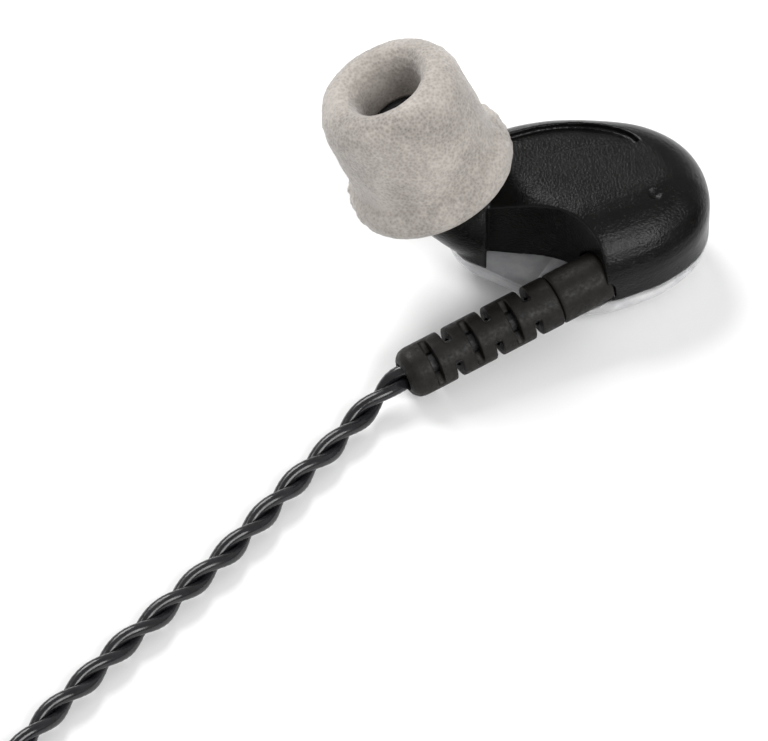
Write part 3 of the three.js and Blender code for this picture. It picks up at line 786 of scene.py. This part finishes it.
# --- foam tip ---------------------------------------------------------------------------------------
FOAM_BORE = CORE_OUTER + 0.04
FOAM_SIDES = 180


def foam_tip():
    """The foam: a flared skirt, a straight side, a round brow and a wide mouth that narrows to the core."""
    r, top, skirt = FOAM_RADIUS, FOAM_LENGTH, SKIRT_RADIUS
    profile = [
        (2.9, 0.15), (skirt - 0.7, 0.0), (skirt - 0.25, 0.2), (skirt - 0.05, 0.7), (skirt, 1.2),
        (skirt - 0.12, SKIRT_HEIGHT - 0.7), (skirt - 0.45, SKIRT_HEIGHT - 0.2),
        (r + 0.02, SKIRT_HEIGHT + 0.15), (r - 0.04, SKIRT_HEIGHT + 0.9), (r + 0.02, top * 0.55),
        (r - 0.1, top - 2.6),
    ]
    profile += [(r - 2.2 + 2.1 * math.cos(a), top - 2.3 + 2.3 * math.sin(a)) for a in quarters(7)[1:]]
    profile += [
        (MOUTH_RADIUS + 0.25, top - 0.12), (MOUTH_RADIUS - 0.15, top - 0.55),
        (MOUTH_RADIUS - 0.45, top - 1.3), (MOUTH_RADIUS - 0.62, top - 2.4), (2.5, CORE_LENGTH + 0.5),
        (2.45, CORE_LENGTH + 0.1), (FOAM_BORE, CORE_LENGTH + 0.05), (FOAM_BORE, 0.15),
    ]
    dense = smooth_profile(profile, 0.14)
    points, faces = turned(dense, TIP_BASE, TIP_AXIS, FOAM_SIDES, closed=True)
    shaped = []
    for k, p in enumerate(points):
        radius, distance = dense[k // FOAM_SIDES]
        out = (p - TIP_BASE - TIP_AXIS * distance).normalized()
        lump = noise.noise(p * 0.35) * 0.14 + noise.noise(p * 1.1) * 0.07 + noise.noise(p * 4.0) * 0.035
        lump += noise.noise(p * 9.0) * 0.02
        on_skirt = distance < SKIRT_HEIGHT and radius > r
        if on_skirt:
            lump += noise.noise(p * 1.6 + Vector((7, 3, 1))) * 0.16 + noise.noise(p * 3.5) * 0.06
        keep = 1.0 if radius > 3.0 else 0.35
        shaped.append(p + out * lump * keep + TIP_AXIS * lump * keep * (0.8 if on_skirt else 0.35))
    return facing_out(new_piece("foam_tip", shaped, faces, "foam"))


def tip_core():
    """The soft tube inside the foam."""
    profile = smooth_profile([
        (CORE_INNER, 0.4), (CORE_OUTER - 0.08, 0.4), (CORE_OUTER, 0.5), (CORE_OUTER, CORE_LENGTH - 0.15),
        (CORE_OUTER - 0.15, CORE_LENGTH), (CORE_INNER + 0.1, CORE_LENGTH),
        (CORE_INNER, CORE_LENGTH - 0.1), (CORE_INNER, 0.45),
    ])
    points, faces = turned(profile, TIP_BASE, TIP_AXIS, 64, closed=True)
    return facing_out(new_piece("tip_core", points, faces, "silicone"))


made_once = {
    "front_shell": (front_shell, "black_shell", HULL_BODY),
    "rear_shell": (rear_shell, "clear_shell", HULL_BODY),
    "strain_relief": (boot, "boot_rubber", HULL_BODY),
    "cable_collar": (collar, "boot_rubber", HULL_BODY),
    "foam_tip": (foam_tip, "foam", "{}_tip"),
    "tip_core": (tip_core, "silicone", "{}_tip"),
}
for node, (build, slot, body) in made_once.items():
    left_piece = build()
    left_piece.name = f"left_{node}_shape"
    for side, piece in (("left", left_piece), ("right", mirrored(left_piece, f"right_{node}_shape"))):
        carried(piece, slot, f"{side}_{node}", body=body.format(side))


# --- floor and light --------------------------------------------------------------------------------
def floor():
    mesh = bpy.data.meshes.new("floor")
    half, low = 1.5, -0.0002     # metres
    corners = [(-half, -half, low), (half, -half, low), (half, half, low), (-half, half, low)]
    mesh.from_pydata(corners, [], [(0, 1, 2, 3)])
    piece = bpy.data.objects.new("floor", mesh)
    bpy.context.collection.objects.link(piece)
    paper = Surface("floor", (0.86, 0.86, 0.86), 0.7)
    mesh.materials.append(paper.material)


def softbox(name, place, aim, size, power):
    light = bpy.data.lights.new(name, "AREA")
    light.energy = power
    light.shape = "DISK"
    light.size = size
    lamp = bpy.data.objects.new(name, light)
    lamp.location = place
    lamp.rotation_euler = (Vector(aim) - Vector(place)).to_track_quat("-Z", "Y").to_euler()
    bpy.context.collection.objects.link(lamp)


floor()
softbox("key", (-0.35, 0.45, 0.6), (0, 0, 0), 0.5, 6)
softbox("fill", (0.42, -0.5, 0.55), (0, -0.02, 0), 0.5, 5.5)
world = bpy.data.worlds.new("world")
world.use_nodes = True
world.node_tree.nodes["Background"].inputs["Color"].default_value = (1, 1, 1, 1)
world.node_tree.nodes["Background"].inputs["Strength"].default_value = 0.56
bpy.context.scene.world = world
bpy.context.scene.view_settings.view_transform = "Standard"


for name, node in frame["nodes"].items():
    owned = bpy.data.objects.get(name)
    slot = next((s["material_slot"] for s in frame["record"]["subparts"] if s["node"] == name), None)
    if owned and slot in looks:
        look = looks["silicone"] if name.endswith("cable_core") else looks[slot]
        for place in owned.material_slots:
            place.material = look
